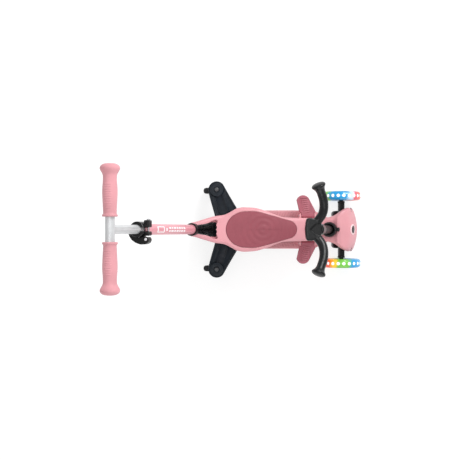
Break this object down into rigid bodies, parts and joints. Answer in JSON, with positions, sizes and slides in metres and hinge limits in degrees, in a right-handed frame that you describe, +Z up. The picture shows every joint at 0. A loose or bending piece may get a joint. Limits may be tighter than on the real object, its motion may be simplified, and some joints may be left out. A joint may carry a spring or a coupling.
{
  "type": "kick scooter",
  "caption": "Child's three-wheel lean-steer kick scooter with ride-on seat, short front handlebar, footrests, caster outriggers and a rear telescopic push bar.",
  "frame": {"origin": "on the floor under the middle of the whole object's bounding box", "axes": "+X forward, towards the two large front wheels; +Y to the rider's left; +Z up"},
  "size_m": [0.706, 0.302, 0.7723],
  "materials": {
    "pink_plastic": "satin moulded pink polypropylene",
    "pink_grip": "soft matte pink grip",
    "pink_paint": "satin powder coat",
    "rose_pad": "matte soft-touch deep rose with fine moulded ripples",
    "rose_plastic": "satin deep rose plastic",
    "black_plastic": "semi-gloss black nylon",
    "slate_plastic": "matte blue-black nylon",
    "bar_aluminium": "satin anodised",
    "steel": "zinc plated",
    "light_tyre": "translucent cast polyurethane that shows coloured lights",
    "wheel_core": "clear-white plastic core",
    "black_rubber": "matte"
  },
  "bodies": {
    "frame": {"deck": "pink_plastic", "deck_undertray": "black_plastic", "nose_shell": "pink_plastic", "truck_base": "black_plastic", "left_kingpin": "steel", "right_kingpin": "steel", "left_centring_spring": "steel", "right_centring_spring": "steel", "column_collar": "black_plastic", "column_tube": "black_plastic", "ride_handlebar": "black_plastic", "seat_shell": "pink_plastic", "seat_pad": "rose_pad", "seat_pedestal": "black_plastic", "left_footrest_pin": "steel", "right_footrest_pin": "steel", "leg_carrier": "slate_plastic", "left_leg": "slate_plastic", "right_leg": "slate_plastic", "left_swivel_cap": "slate_plastic", "right_swivel_cap": "slate_plastic", "left_swivel_bolt": "slate_plastic", "right_swivel_bolt": "slate_plastic", "rear_socket": "black_plastic", "lower_pole": "pink_paint", "clamp_collar": "black_plastic", "clamp_bolt": "steel", "clamp_lever_pin": "steel", "rear_axle": "steel", "brake_pin": "steel"},
    "left_knuckle": {"left_knuckle": "black_plastic", "left_axle_bolt": "steel"},
    "right_knuckle": {"right_knuckle": "black_plastic", "right_axle_bolt": "steel"},
    "tie_rod": {"tie_rod": "steel"},
    "left_front_wheel": {"left_tyre": "light_tyre", "left_wheel_core": "wheel_core", "left_wheel_bearing": "steel", "left_hub_cap": "pink_plastic"},
    "right_front_wheel": {"right_tyre": "light_tyre", "right_wheel_core": "wheel_core", "right_wheel_bearing": "steel", "right_hub_cap": "pink_plastic"},
    "steering_lock": {"steering_lock_button": "black_plastic"},
    "column_release": {"column_release_button": "black_plastic"},
    "socket_release": {"socket_release_button": "black_plastic"},
    "left_footrest": {"left_footrest": "rose_plastic"},
    "right_footrest": {"right_footrest": "rose_plastic"},
    "left_caster": {"left_caster_fork": "slate_plastic", "left_caster_axle": "steel"},
    "right_caster": {"right_caster_fork": "slate_plastic", "right_caster_axle": "steel"},
    "left_caster_wheel": {"left_caster_wheel": "black_rubber"},
    "right_caster_wheel": {"right_caster_wheel": "black_rubber"},
    "rear_wheel": {"rear_wheel": "black_rubber"},
    "rear_brake": {"rear_brake": "black_plastic"},
    "push_bar": {"t_bar": "bar_aluminium", "left_grip": "pink_grip", "right_grip": "pink_grip"},
    "clamp_lever": {"clamp_lever": "black_plastic"}
  },
  "joints": [
    {"name": "left_steer", "type": "hinge", "parent": "frame", "child": "left_knuckle", "pos_m": [0.2925, 0.049, 0.0605], "axis": [0.2588, 0, 0.9659], "range_deg": [-18, 18], "stiffness_Nm_per_rad": 12},
    {"name": "left_wheel_spin", "type": "hinge", "parent": "left_knuckle", "child": "left_front_wheel", "pos_m": [0.2925, 0.1045, 0.0605], "axis": [0, 1, 0], "continuous": true},
    {"name": "right_steer", "type": "hinge", "parent": "frame", "child": "right_knuckle", "pos_m": [0.2925, -0.049, 0.0605], "axis": [0.2588, 0, 0.9659], "range_deg": [-18, 18]},
    {"name": "right_wheel_spin", "type": "hinge", "parent": "right_knuckle", "child": "right_front_wheel", "pos_m": [0.2925, -0.1045, 0.0605], "axis": [0, 1, 0], "continuous": true},
    {"name": "tie_rod_shift", "type": "slide", "parent": "frame", "child": "tie_rod", "axis": [0, 1, 0], "range_m": [-0.0067, 0.0067]},
    {"name": "steering_lock_press", "type": "slide", "parent": "frame", "child": "steering_lock", "axis": [0.8746, 0, 0.4848], "range_m": [-0.003, 0], "stiffness_N_per_m": 400, "springref_m": 0.001},
    {"name": "column_release_press", "type": "slide", "parent": "frame", "child": "column_release", "axis": [0.9673, 0, 0.2538], "range_m": [-0.003, 0], "stiffness_N_per_m": 400, "springref_m": 0.001},
    {"name": "socket_release_press", "type": "slide", "parent": "frame", "child": "socket_release", "axis": [0.9472, 0, 0.3206], "range_m": [-0.0018, 0], "stiffness_N_per_m": 400, "springref_m": 0.001},
    {"name": "left_footrest_fold", "type": "hinge", "parent": "frame", "child": "left_footrest", "pos_m": [0.18, 0.0415, 0.138], "axis": [1, 0, 0], "range_deg": [0, 80]},
    {"name": "right_footrest_fold", "type": "hinge", "parent": "frame", "child": "right_footrest", "pos_m": [0.18, -0.0415, 0.138], "axis": [-1, 0, 0], "range_deg": [0, 80]},
    {"name": "left_caster_swivel", "type": "hinge", "parent": "frame", "child": "left_caster", "pos_m": [-0.0965, 0.123, 0.065], "axis": [0, 0, 1], "continuous": true},
    {"name": "left_caster_spin", "type": "hinge", "parent": "left_caster", "child": "left_caster_wheel", "pos_m": [-0.1145, 0.123, 0.025], "axis": [0, 1, 0], "continuous": true},
    {"name": "right_caster_swivel", "type": "hinge", "parent": "frame", "child": "right_caster", "pos_m": [-0.0965, -0.123, 0.065], "axis": [0, 0, 1], "continuous": true},
    {"name": "right_caster_spin", "type": "hinge", "parent": "right_caster", "child": "right_caster_wheel", "pos_m": [-0.1145, -0.123, 0.025], "axis": [0, 1, 0], "continuous": true},
    {"name": "rear_wheel_spin", "type": "hinge", "parent": "frame", "child": "rear_wheel", "pos_m": [-0.122, 0, 0.043], "axis": [0, 1, 0], "continuous": true},
    {"name": "rear_brake_press", "type": "hinge", "parent": "frame", "child": "rear_brake", "pos_m": [-0.094, 0, 0.0805], "axis": [0, 1, 0], "range_deg": [-2, 0], "stiffness_Nm_per_rad": 1.5, "springref_deg": 2.86},
    {"name": "push_bar_height", "type": "slide", "parent": "frame", "child": "push_bar", "axis": [-0.3206, 0, 0.9472], "range_m": [-0.12, 0.05]},
    {"name": "clamp_lever_open", "type": "hinge", "parent": "frame", "child": "clamp_lever", "pos_m": [-0.25879, -0.0245, 0.60256], "axis": [-0.3206, 0, 0.9472], "range_deg": [0, 100]}
  ],
  "couplings": [
    {"joint": "right_steer", "follows": "left_steer", "ratio": 1},
    {"joint": "tie_rod_shift", "follows": "left_steer", "m_per_rad": -0.021}
  ]
}
